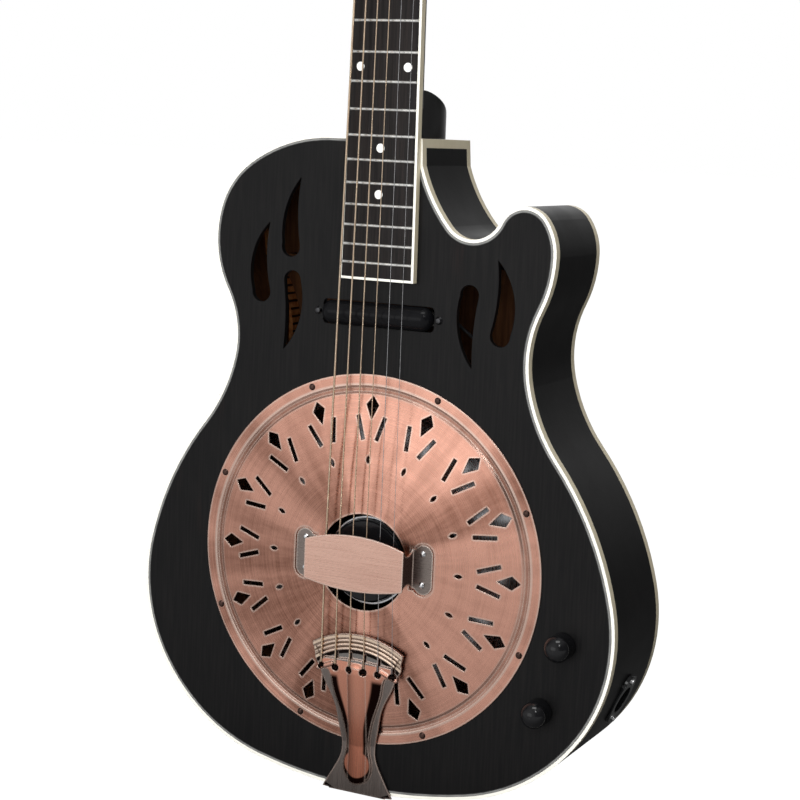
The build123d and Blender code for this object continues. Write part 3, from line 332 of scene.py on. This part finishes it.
def copper():
    """Brushed antique copper: rings of scratches, and fans of painted highlight and painted shade round
    the centre.
    """
    m = Look("antique_copper", rough=0.34, metal=1.0)
    base, dark, light = (0.92, 0.48, 0.36), (0.28, 0.125, 0.085), (0.98, 0.76, 0.65)
    distance, turn, across, up = m.polar(PLATE_X, PLATE_Z)
    share = m.maths("DIVIDE", distance, PLATE_R)
    away = m.maths("ADD", distance, 1e-5)
    drift = m.maths("MULTIPLY", share, 0.35)
    fan_at = m.joined(m.maths("DIVIDE", across, away), m.maths("DIVIDE", up, away), drift)
    # painted highlight and painted shade in fans round the centre
    broad = m.noise(fan_at, 1.7, 2.0, 0.55)
    fine_fan = m.noise(fan_at, 14.0, 3.0, 0.6)
    scratch_at = m.joined(m.maths("MULTIPLY", distance, 900.0), m.maths("MULTIPLY", turn, 1.3), 0.0)
    scratch = m.noise(scratch_at, 1.0, 3.0, 0.6)
    long_at = m.joined(m.maths("MULTIPLY", distance, 260.0), m.maths("MULTIPLY", turn, 0.7), 0.4)
    long_scratch = m.noise(long_at, 1.0, 2.0)
    tone = m.weighed(
        (broad, 0.38, 0.62, 0.70),
        (fine_fan, 0.3, 0.7, 0.20),
        (scratch, 0.3, 0.7, 0.16),
        (long_scratch, 0.35, 0.7, 0.1),
    )
    # painted shade in the groove just inside the rim
    groove = m.maths("MULTIPLY", m.between(share, 0.885, 0.915), m.between(share, 0.955, 0.925))
    tone = m.maths("SUBTRACT", tone, m.maths("MULTIPLY", groove, 0.55), clamp=True)
    # painted highlight on a thin ring near the rim and along the sharp edges round the cutouts
    rim_highlight = m.maths("MULTIPLY", m.between(share, 0.935, 0.942), m.between(share, 0.956, 0.948))
    edge_highlight = m.maths("ADD", m.edges(0.0022, 26.0), m.maths("MULTIPLY", rim_highlight, 0.5), clamp=True)
    m.set("Base Color", m.mix(edge_highlight, m.mix(tone, dark, base), light))
    m.set("Roughness", m.between(scratch, 0.25, 0.75, 0.22, 0.34))
    m.set("Anisotropic", 0.8)
    m.set("Anisotropic Rotation", 0.25)
    tangent = m.node("ShaderNodeTangent", direction_type="RADIAL", axis="Y")
    m.set("Tangent", tangent.outputs[0])
    m.bump(scratch, 0.00003, 0.35, m.rounded(0.0005))
    return m


def tail_metal():
    """Tailpiece: grey-brown flanges, a copper spoon with painted shade on its flanks, and a ridged
    golden bar with painted highlight on its ribs and painted shade between them.
    """
    m = Look("tailpiece_metal", rough=0.27, metal=1.0)
    place, normal = m.axes(m.at), m.normal_axes()
    scratch = m.streaks(2600, 900, 30, 4)
    slope = m.node("ShaderNodeMapRange")
    sheet = (place[2], TAIL_BEND_LOW, TAIL_BEND_HIGH, TAIL_FLAT_Y, TAIL_HEAD_Y)
    for socket, v in zip(slope.inputs, sheet):
        m.feed(socket, v)
    lift = m.maths("SUBTRACT", slope.outputs[0], place[1])
    raised = m.between(lift, 0.0006, 0.0010)
    distance = m.polar(PLATE_X, BAR_CENTRE)[0]
    bar = m.between(distance, BAR_INNER, BAR_INNER + 0.0004)
    off_bar = m.maths("SUBTRACT", 1.0, bar)
    panel = m.maths("MULTIPLY", m.between(place[2], TAIL_PANEL_LOW, TAIL_PANEL_LOW + 0.0003), off_bar)
    fine = m.between(scratch, 0.3, 0.7)
    flange = m.mix(fine, (0.27, 0.225, 0.205), (0.33, 0.28, 0.255))
    red = m.mix(m.between(place[2], *SPOON_REDDENS), (0.86, 0.39, 0.27), (0.72, 0.27, 0.17))
    spoon = m.mix(m.maths("MULTIPLY", fine, 0.3), red, (0.82, 0.34, 0.23))
    # painted highlight on the ribs of the bar and painted shade in the lines between them
    wave = m.maths("SUBTRACT", distance, RIDGE_FIRST - RIDGE_PITCH / 4)
    ridge_highlight = m.between(m.maths("SINE", m.maths("MULTIPLY", wave, 2 * math.pi / RIDGE_PITCH)), -0.8, 0.0)
    gold_lit_and_shaded = m.mix(ridge_highlight, (0.16, 0.10, 0.07), (1.0, 0.78, 0.60))
    colour = m.mix(panel, m.mix(raised, flange, spoon), (0.27, 0.25, 0.235))
    colour = m.mix(bar, colour, gold_lit_and_shaded)
    # painted shade on faces turned sideways
    flank_shade = m.between(m.maths("ABSOLUTE", normal[1]), 0.75, 0.45)
    # painted shade on both sides of the spoon and below its round end
    half = m.between(place[2], SPOON_WAIST, SPOON_SHOULDER, SPOON_WAIST_HALF, SPOON_SHOULDER_HALF)
    aside = m.maths("SUBTRACT", place[0], PLATE_X)
    share = m.maths("DIVIDE", aside, half)
    side = m.maths("ADD", m.between(share, 0.50, 0.64), m.between(share, -0.66, -0.80), clamp=True)
    above = m.between(place[2], SPOON_END - 0.0005, SPOON_END + 0.0005)
    side = m.maths("MAXIMUM", side, m.maths("SUBTRACT", 1.0, above))
    wide = m.maths("DIVIDE", aside, SPOON_END_RADIUS)
    deep = m.maths("DIVIDE", m.maths("SUBTRACT", place[2], SPOON_END), SPOON_END_RADIUS)
    bulb = m.between(m.length(wide, deep), 1.06, 0.94)
    side = m.maths("MULTIPLY", side, m.maths("SUBTRACT", 1.0, bulb))
    below = m.between(place[2], SPOON_FLANK_TOP, SPOON_FLANK_TOP - 0.004)
    side = m.maths("MULTIPLY", m.maths("MULTIPLY", side, raised), below)
    colour = m.mix(m.maths("MAXIMUM", flank_shade, side), colour, (0.012, 0.004, 0.003))
    # and painted shade in the gap just under the bar
    gap = m.between(distance, BAR_INNER - BAR_SHADOW - 0.0002, BAR_INNER - BAR_SHADOW + 0.0002)
    colour = m.mix(m.maths("MULTIPLY", gap, off_bar), colour, HOLLOW_SHADE)
    # painted highlight along the sharp edges
    m.set("Base Color", m.mix(m.edges(0.0018, 18.0), colour, (0.92, 0.70, 0.60)))
    m.set("Roughness", m.between(scratch, 0.25, 0.75, 0.22, 0.36))
    m.bump(scratch, 0.00003, 0.35, m.rounded(0.0012))
    return m


def rest_metal():
    """Hand rest: bright lengthwise brushing on top, legs painted dark as shade, grey-brown feet, and
    painted highlight along its edges.
    """
    m = Look("hand_rest_copper", rough=0.3, metal=1.0)
    place, normal = m.axes(m.at), m.normal_axes()
    scratch = m.streaks(26, 900, 2600, 4)
    broad = m.noise(m.at, 26.0, 2.0)
    tone = m.weighed((scratch, 0.3, 0.7, 0.6), (broad, 0.3, 0.7, 0.4))
    top = m.mix(tone, (0.80, 0.47, 0.37), (0.97, 0.62, 0.50))
    feet = m.between(place[1], REST_FOOT_Y - 0.0005, REST_FOOT_Y + 0.0005)
    colour = m.mix(feet, top, m.mix(tone, (0.25, 0.21, 0.19), (0.31, 0.26, 0.235)))
    # painted shade on the upright sides of the legs
    upright = m.between(m.maths("ABSOLUTE", normal[0]), 0.6, 0.8)
    leg_shade = m.maths("MULTIPLY", upright, m.between(place[1], REST_LEG_Y + 0.0003, REST_LEG_Y - 0.0003))
    colour = m.mix(m.maths("MULTIPLY", leg_shade, 0.95), colour, (0.05, 0.014, 0.010))
    # painted highlight along the sharp edges
    m.set("Base Color", m.mix(m.edges(0.0018, 18.0), colour, (0.98, 0.80, 0.70)))
    m.set("Roughness", m.between(scratch, 0.25, 0.75, 0.22, 0.36))
    m.bump(scratch, 0.00003, 0.35, m.rounded(0.0008))
    return m


def metal(name, colour, rough, grime=0.15):
    """Plated metal with faint wear: a little darker and rougher in clouds."""
    m = Look(name, rough=rough, metal=1.0)
    cloud = m.noise(m.at, 240.0, 3.0)
    worn = tuple(c * (1 - grime * 2) for c in colour)
    m.set("Base Color", m.mix(m.between(cloud, 0.35, 0.7), worn, colour))
    m.set("Roughness", m.between(cloud, 0.3, 0.7, rough * 0.8, rough * 1.3))
    m.set("Normal", m.rounded(0.0002))
    return m


def gloss(name, rough):
    """Moulded black plastic, polished, with faint waves and dust."""
    m = Look(name, rough=rough, specular=0.35)
    cloud = m.noise(m.at, 120.0, 3.0)
    m.set("Base Color", m.mix(cloud, (0.003, 0.003, 0.0035), (0.008, 0.008, 0.009)))
    m.set("Roughness", m.between(cloud, 0.3, 0.7, rough, rough * 1.8))
    m.set("Normal", m.rounded(0.0007))
    return m


def pickup_gloss():
    """Black case with a satin skin, so that only a thin highlight runs along it."""
    m = Look("pickup_gloss", rough=0.16, specular=0.12)
    cloud = m.noise(m.at, 90.0, 3.0)
    m.set("Base Color", m.mix(cloud, (0.0025, 0.0025, 0.003), (0.006, 0.006, 0.007)))
    m.set("Roughness", m.between(cloud, 0.3, 0.7, 0.12, 0.22))
    m.set("Normal", m.rounded(0.0004))
    return m


def rosewood():
    """Nearly black fingerboard wood with open pores."""
    m = Look("rosewood", rough=0.45, specular=0.25)
    grain = m.streaks(900, 900, 22, 4)
    pores = m.streaks(2600, 2600, 90, 2)
    m.set("Base Color", m.mix(m.between(grain, 0.35, 0.7), (0.004, 0.003, 0.003), (0.013, 0.009, 0.008)))
    m.set("Roughness", m.between(pores, 0.3, 0.6, 0.52, 0.36))
    m.bump(pores, 0.00005, 0.5)
    return m


def soft_sheen(name, dark, light, rough, scale=90.0):
    """Two close shades in clouds, for bone, pearl, wood and plastic."""
    m = Look(name, rough=rough)
    cloud = m.noise(m.at, scale, 3.0)
    m.set("Base Color", m.mix(m.between(cloud, 0.3, 0.7), dark, light))
    m.set("Roughness", m.between(cloud, 0.3, 0.7, rough * 0.85, rough * 1.15))
    m.set("Normal", m.rounded(0.0003))
    return m


def keyhole_shade(m, colour):
    """Paints shade on the ball ends, which sit inside the keyholes."""
    low = m.between(m.axes(m.at)[2], BALL_LEVEL + 0.0008, BALL_LEVEL)
    return m.mix(low, colour, HOLLOW_SHADE)


def plain():
    """Plain steel wire."""
    m = Look("steel_string", rough=0.22, metal=1.0)
    cloud = m.noise(m.at, 240.0, 3.0)
    steel = m.mix(m.between(cloud, 0.35, 0.7), (0.46, 0.46, 0.47), (0.66, 0.66, 0.67))
    m.set("Base Color", keyhole_shade(m, steel))
    m.set("Roughness", m.between(cloud, 0.3, 0.7, 0.18, 0.28))
    return m


def wound():
    """Bronze wrap wire: a rib every WRAP_PITCH along the string, painted lighter on its crown as
    highlight and darker between wraps as shade.
    """
    m = Look("bronze_string", rough=0.3, metal=1.0)
    turn = m.maths("MULTIPLY", m.axes(m.at)[2], 2 * math.pi / WRAP_PITCH)
    rib = m.maths("SINE", turn)
    # painted highlight on the crown of each wrap, painted shade between wraps
    bronze = m.mix(m.between(rib, -1, 1), (0.80, 0.56, 0.38), (1.0, 0.84, 0.64))
    m.set("Base Color", keyhole_shade(m, bronze))
    m.set("Roughness", m.between(m.noise(m.at, 60.0), 0.3, 0.7, 0.26, 0.42))
    m.bump(rib, 0.00006, 0.6)
    return m


def cone_metal():
    """Spun aluminium: rings left by the lathe, and painted shade over the crown, all but one bright lip.
    """
    m = Look("spun_aluminium", rough=0.26, metal=1.0)
    distance = m.polar(PLATE_X, PLATE_Z)[0]
    ring = m.noise(m.joined(m.maths("MULTIPLY", distance, 900.0), 0.0, 0.0), 1.0, 3.0)
    m.set("Roughness", m.between(ring, 0.3, 0.7, 0.20, 0.34))
    m.bump(ring, 0.00006, 0.6, m.rounded(0.0004))
    # painted shade over the crown, except on the lip
    crown = m.between(distance, CONE_CROWN + 0.00075, CONE_CROWN - 0.00075)
    lip_in, lip_out = CONE_LIP
    outside = m.between(distance, lip_in, lip_in + 0.0003)
    lip = m.maths("MULTIPLY", outside, m.between(distance, lip_out, lip_out - 0.0004))
    bright = m.mix(ring, (0.62, 0.63, 0.65), (0.9, 0.9, 0.92))
    shade = m.maths("MULTIPLY", crown, m.maths("SUBTRACT", 1.0, lip))
    m.set("Base Color", m.mix(shade, bright, (0.012, 0.012, 0.013)))
    return m


# one look for each material slot of the CAD nodes
LOOKS = {
    "black_lacquer_wood": lacquer(),
    "cream_binding": cream(),
    "inner_wood": shaded_raw_wood(),
    "spun_aluminium": cone_metal(),
    "black_biscuit": gloss("black_biscuit", 0.12),
    "maple_saddle": soft_sheen("maple_saddle", (0.55, 0.36, 0.18), (0.72, 0.52, 0.30), 0.5),
    "antique_copper": copper(),
    "dark_copper": tail_metal(),
    "bright_screw": metal("bright_screw", (0.86, 0.86, 0.87), 0.16),
    "dark_screw": metal("dark_screw", (0.10, 0.06, 0.05), 0.3),
    "copper_screw": metal("copper_screw", (0.62, 0.27, 0.18), 0.28),
    "chrome": metal("chrome", (0.88, 0.88, 0.9), 0.08),
    "rosewood": rosewood(),
    "fret_wire": metal("fret_wire", (0.86, 0.85, 0.82), 0.2),
    "pearl_dot": soft_sheen("pearl_dot", (0.80, 0.80, 0.76), (0.94, 0.93, 0.90), 0.22, 500.0),
    "bone": soft_sheen("bone", (0.80, 0.74, 0.60), (0.88, 0.83, 0.71), 0.35),
    "black_gloss": gloss("black_gloss", 0.05),
    "bronze_string": wound(),
    "steel_string": plain(),
    "plated_steel": metal("plated_steel", (0.60, 0.58, 0.54), 0.3),
    "wire_jacket": soft_sheen("wire_jacket", (0.012, 0.012, 0.013), (0.03, 0.03, 0.032), 0.45),
}
# nodes that don't take the look of their slot
OWN_LOOKS = {
    "hand_rest": rest_metal(),
    "pickup_tube": pickup_gloss(),
    "pickup_screws": metal("pickup_screw", (0.10, 0.10, 0.105), 0.3),
    "kerfed_linings": kerfed(),
}


def dress():
    """Gives every CAD node the look of its material slot, or its own."""
    for node in NODES.values():
        slot = node.data.materials[0].name
        node.data.materials[0] = LOOKS[slot].material
    for name, look in OWN_LOOKS.items():
        NODES[name].data.materials[0] = look.material


def bare_inside():
    """Raw wood, darkened with painted shade, on the faces of the plates and sides that look into the
    body.
    """
    top_mesh = NODES["top_plate"].data
    top = BVHTree.FromPolygons(
        [v.co for v in top_mesh.vertices],
        [p.vertices for p in top_mesh.polygons],
    )
    for name in ("top_plate", "back_plate", "rim_sides"):
        mesh = NODES[name].data
        mesh.materials.append(LOOKS["inner_wood"].material)
        for face in mesh.polygons:
            if name == "top_plate":
                inside = face.normal.y > 0.5
            elif name == "back_plate":
                inside = face.normal.y < -0.5
            else:
                probe = face.center + face.normal * 0.001
                inside = top.ray_cast(probe, Vector((0, -1, 0)))[0] is not None
            if inside:
                face.material_index = 1


# ------------------------------------------------------------------- pieces
def keep(name, mesh_maker, body, look, smooth=True):
    """Turns a bmesh into a piece that rides on a body."""
    mesh = bpy.data.meshes.new(name)
    mesh_maker.to_mesh(mesh)
    mesh_maker.free()
    for face in mesh.polygons:
        face.use_smooth = smooth
    mesh.materials.append(look.material)
    piece = bpy.data.objects.new(name, mesh)
    bpy.context.scene.collection.objects.link(piece)
    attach(piece, body)
    return piece


def merged(node):
    """A bmesh copy of a CAD node with its split vertices joined."""
    mesh = bmesh.new()
    mesh.from_mesh(NODES[node].data)
    bmesh.ops.remove_doubles(mesh, verts=mesh.verts, dist=1e-6)
    return mesh


def face_outline(node, level):
    """The longest closed edge loop of a node's flat face at y = level, as (x, z) points."""
    mesh = merged(node)
    follow = {}
    for edge in mesh.edges:
        if any(abs(v.co.y - level) > 2e-5 for v in edge.verts):
            continue
        flat = [abs(f.normal.y) > 0.9 for f in edge.link_faces]
        if sum(flat) == 1:
            a, b = edge.verts
            follow.setdefault(a, []).append(b)
            follow.setdefault(b, []).append(a)
    loops = []
    left = set(follow)
    while left:
        at = start = left.pop()
        before, loop = None, [start]
        while True:
            ahead = [v for v in follow[at] if v is not before and (v in left or v is start)]
            if not ahead or ahead[0] is start:
                break
            before, at = at, ahead[0]
            left.discard(at)
            loop.append(at)
        loops.append([(v.co.x, v.co.z) for v in loop])
    mesh.free()

    def around(loop):
        return sum(math.dist(p, q) for p, q in zip(loop, loop[1:] + loop[:1]))

    return max(loops, key=around)


def inset(loop, by):
    """A closed loop of (x, z) points moved inwards, corner by corner."""
    area = sum(a[0] * b[1] - b[0] * a[1] for a, b in zip(loop, loop[1:] + loop[:1]))
    side = 1 if area > 0 else -1
    moved = []
    for before, at, after in zip(loop[-1:] + loop[:-1], loop, loop[1:] + loop[:1]):
        first = Vector((at[0] - before[0], at[1] - before[1])).normalized()
        second = Vector((after[0] - at[0], after[1] - at[1])).normalized()
        along = (first + second).normalized()
        # a sharp corner moves by at most twice the inset
        shift = side * by / max(0.5, first.dot(along))
        moved.append((at[0] - along.y * shift, at[1] + along.x * shift))
    return moved


def ribbon(outer, inner, front, back):
    """A closed flat band between two loops of the same number of points."""
    mesh = bmesh.new()
    section = ((outer, back), (outer, front), (inner, front), (inner, back))
    rings = [[mesh.verts.new((x, y, z)) for x, z in loop] for loop, y in section]
    count = len(outer)
    for near, far in zip(rings, rings[1:] + rings[:1]):
        for i in range(count):
            j = (i + 1) % count
            mesh.faces.new((near[i], near[j], far[j], far[i]))
    bmesh.ops.recalc_face_normals(mesh, faces=mesh.faces)
    return mesh


def purfling():
    """A grey and a black line let into the top just inside the binding."""
    edge = face_outline("top_plate", 0.0)
    for shade, near, far, dark, light in PURFLING:
        look = soft_sheen(f"purfling_{shade}", dark, light, 0.4)
        line = ribbon(inset(edge, near), inset(edge, far), -PURFLING_PROUD, PURFLING_DEEP)
        keep(f"purfling_line_{shade}", line, "instrument", look, smooth=False)


def tube(points, radius, sides):
    """A round tube along points, closed at both ends, as a bmesh."""
    mesh = bmesh.new()
    rings = []
    normal = None
    for i, at in enumerate(points):
        ahead = points[min(i + 1, len(points) - 1)] - points[max(i - 1, 0)]
        ahead.normalize()
        if normal is None:
            normal = ahead.orthogonal().normalized()
        normal = (normal - ahead * normal.dot(ahead)).normalized()
        other = ahead.cross(normal)
        rings.append([
            mesh.verts.new(at + (normal * math.cos(t) + other * math.sin(t)) * radius)
            for t in (2 * math.pi * k / sides for k in range(sides))
        ])
    for near, far in zip(rings, rings[1:]):
        for k in range(sides):
            mesh.faces.new((near[k], near[(k + 1) % sides], far[(k + 1) % sides], far[k]))
    mesh.faces.new(rings[0][::-1])
    mesh.faces.new(rings[-1])
    bmesh.ops.recalc_face_normals(mesh, faces=mesh.faces)
    return mesh


def bar_ridges():
    """Round ribs along the curved bar of the tailpiece."""
    for index in range(RIDGE_COUNT):
        reach = RIDGE_FIRST + index * RIDGE_PITCH
        points = []
        for k in range(RIDGE_STEPS + 1):
            turn = (2 * k / RIDGE_STEPS - 1) * RIDGE_HALF_TURN
            up = BAR_CENTRE + reach * math.cos(turn)
            points.append(Vector((PLATE_X + reach * math.sin(turn), RIDGE_LEVEL, up)))
        rib = tube(points, RIDGE_RADIUS, 12)
        keep(f"bar_ridge_{index + 1}", rib, "instrument", LOOKS["dark_copper"])


def windings():
    """The turns of each string round its own post."""
    for joint in frame["joints"]:
        if not joint["name"].startswith("post_"):
            continue
        number = int(joint["name"].split("_")[1])
        gauge = GAUGES[number - 1]
        axis = Vector(joint["axis"]).normalized()
        centre = Vector(joint["pos_m"]) + axis * WIND_LEVEL
        across = axis.orthogonal().normalized()
        other = axis.cross(across)
        turns = 3 if gauge > THICK_GAUGE else 4
        reach = POST_WAIST + gauge / 2 + 0.0001
        points = []
        steps = WIND_STEPS * turns
        for k in range(steps + 1):
            t = 2 * math.pi * k / WIND_STEPS
            rise = (k / steps - 0.5) * turns * gauge * WIND_SPREAD
            outward = across * math.cos(t) + other * math.sin(t)
            points.append(centre + outward * reach + axis * rise)
        slot = "bronze_string" if number <= LAST_WOUND else "steel_string"
        coil = tube(points, gauge / 2, 8)
        keep(f"winding_{number}", coil, f"tuner_{number}_post", LOOKS[slot])


# ------------------------------------------------- camera, floor and lights
def camera():
    """The eye, aimed at the body and rolled a little to the left."""
    eye = bpy.data.objects.new("camera", bpy.data.cameras.new("camera"))
    eye.data.lens = LENS_MM
    eye.data.sensor_width = SENSOR_MM
    eye.data.clip_end = VIEW_DEPTH
    forward = (CAMERA_AIM - CAMERA_AT).normalized()
    right = forward.cross(Vector((0, 0, 1))).normalized()
    up = right.cross(forward)
    level_right = right * math.cos(CAMERA_ROLL) + up * math.sin(CAMERA_ROLL)
    level_up = up * math.cos(CAMERA_ROLL) - right * math.sin(CAMERA_ROLL)
    turn = Matrix((level_right, level_up, -forward)).transposed()
    eye.matrix_world = Matrix.Translation(CAMERA_AT) @ turn.to_4x4()
    bpy.context.scene.collection.objects.link(eye)
    bpy.context.scene.camera = eye


def floor():
    """A wide floor just under the guitar: it looks white, and glows in reflections in front."""
    mesh = bmesh.new()
    level = CAD_BOX[0].z - FLOOR_GAP
    signs = ((-1, -1), (1, -1), (1, 1), (-1, 1))
    mesh.faces.new([mesh.verts.new((x * FLOOR_HALF, y * FLOOR_HALF, level)) for x, y in signs])
    data = bpy.data.meshes.new("floor")
    mesh.to_mesh(data)
    mesh.free()
    ground = bpy.data.objects.new("floor", data)
    bpy.context.scene.collection.objects.link(ground)
    look = Look("floor", rough=0.9, specular=0.0)
    pale = look.mix(look.noise(look.at, 0.6), (0.10, 0.10, 0.10), (0.12, 0.12, 0.12))
    look.set("Base Color", pale)
    seen = look.node("ShaderNodeLightPath").outputs["Is Camera Ray"]
    look.set("Emission Color", (1, 1, 1, 1))
    ahead = look.axes(look.at)[1]
    bounce = look.between(ahead, BOUNCE_START, BOUNCE_FULL, BOUNCE_LOW, BOUNCE_HIGH)
    look.set("Emission Strength", look.maths("ADD", look.maths("MULTIPLY", seen, FLOOR_GLOW), bounce))
    data.materials.append(look.material)


def softbox(name, at, aim, width, height, watts, reflected):
    light = bpy.data.lights.new(name, "AREA")
    light.shape = "RECTANGLE"
    light.size, light.size_y = width, height
    light.energy = watts
    lamp = bpy.data.objects.new(name, light)
    lamp.location = at
    lamp.rotation_mode = "QUATERNION"
    lamp.rotation_quaternion = (Vector(aim) - Vector(at)).to_track_quat("-Z", "Y")
    lamp.visible_glossy = reflected
    bpy.context.scene.collection.objects.link(lamp)


def sky():
    """A white backdrop, and for all but camera rays a dim sky with the glows of SKY_GLOWS."""
    world = bpy.data.worlds.new("studio")
    bpy.context.scene.world = world
    world.use_nodes = True
    tree = world.node_tree
    back = tree.nodes["Background"]
    direction = tree.nodes.new("ShaderNodeTexCoord").outputs["Generated"]
    total = AMBIENT
    for towards, low, high, strength in SKY_GLOWS:
        facing = tree.nodes.new("ShaderNodeVectorMath")
        facing.operation = "DOT_PRODUCT"
        tree.links.new(direction, facing.inputs[0])
        facing.inputs[1].default_value = Vector(towards).normalized()
        spread = tree.nodes.new("ShaderNodeMapRange")
        spread.interpolation_type = "SMOOTHSTEP"
        tree.links.new(facing.outputs["Value"], spread.inputs["Value"])
        for name, value in (("From Min", low), ("From Max", high), ("To Max", strength)):
            spread.inputs[name].default_value = value
        added = tree.nodes.new("ShaderNodeMath")
        tree.links.new(spread.outputs[0], added.inputs[0])
        if isinstance(total, float):
            added.inputs[1].default_value = total
        else:
            tree.links.new(total, added.inputs[1])
        total = added.outputs[0]
    path = tree.nodes.new("ShaderNodeLightPath")
    strength = tree.nodes.new("ShaderNodeMapRange")
    tree.links.new(path.outputs["Is Camera Ray"], strength.inputs["Value"])
    tree.links.new(total, strength.inputs["To Min"])
    strength.inputs["To Max"].default_value = 1.0
    tree.links.new(strength.outputs[0], back.inputs["Strength"])
    back.inputs["Color"].default_value = (1, 1, 1, 1)


def studio():
    camera()
    floor()
    sky()
    for lamp in LAMPS:
        softbox(*lamp)
    bpy.context.scene.view_settings.view_transform = "Standard"


studio()
dress()
bare_inside()
purfling()
bar_ridges()
windings()
